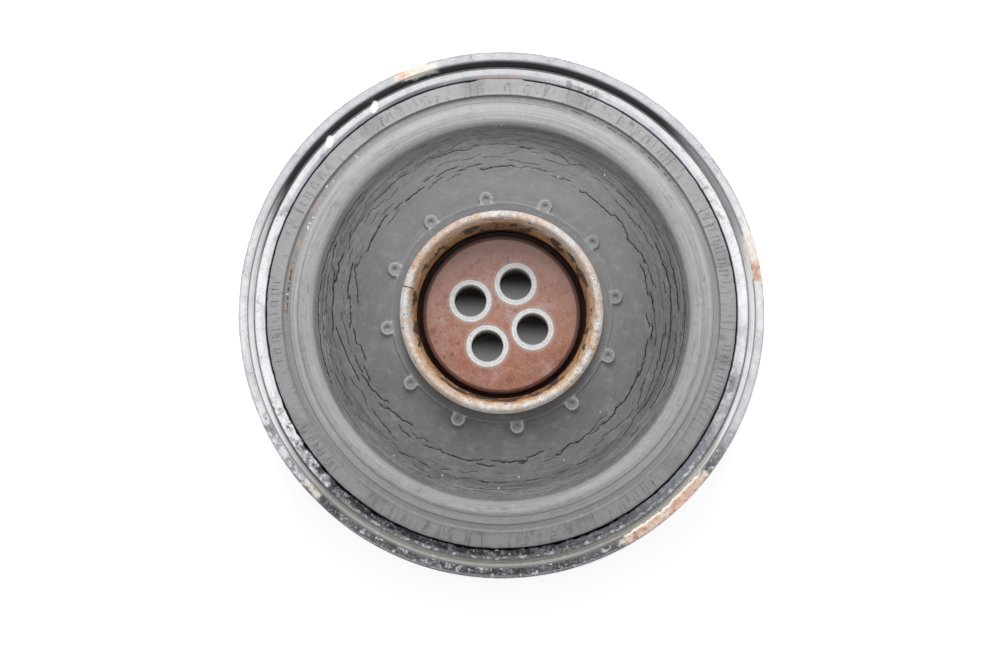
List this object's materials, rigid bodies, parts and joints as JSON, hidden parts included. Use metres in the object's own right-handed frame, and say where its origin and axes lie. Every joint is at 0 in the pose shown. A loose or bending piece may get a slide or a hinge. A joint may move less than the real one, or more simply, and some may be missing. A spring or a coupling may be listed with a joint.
{
  "type": "crankshaft belt pulley with vibration damper",
  "caption": "Decoupled crankshaft belt pulley: grooved steel rim on a cracked rubber dish, rusted collar and bolted hub, damper ring behind.",
  "frame": {"origin": "on the axis, in the plane of the inertia ring's rear face, which the part lies on", "axes": "+Z along the turning axis, towards the front, where the bolts go in; the bolt pattern is turned 24.5 degrees back from +X"},
  "size_m": [0.1738, 0.1738, 0.062],
  "materials": {
    "hub_steel": "even red-brown rust, bright rings round the bolt holes",
    "collar_steel": "mottled white, tan and orange rust",
    "bond_steel": "phosphated, hidden under the rubber",
    "decoupler_rubber": "dull grey, aged and cracked",
    "rim_steel": "worn black paint, pitted, with patches of rust",
    "bush_plastic": "filled bearing plastic",
    "damper_rubber": "dull black",
    "inertia_iron": "turned, black, with light rust"
  },
  "bodies": {
    "root": {"hub": "hub_steel", "collar": "collar_steel", "inner_bond_sleeve": "bond_steel", "outer_bond_ring": "bond_steel", "decoupler_rubber": "decoupler_rubber", "pulley_rim": "rim_steel", "slide_bush": "bush_plastic", "thrust_ring": "bush_plastic", "damper_rubber": "damper_rubber", "inertia_ring": "inertia_iron"}
  },
  "joints": []
}
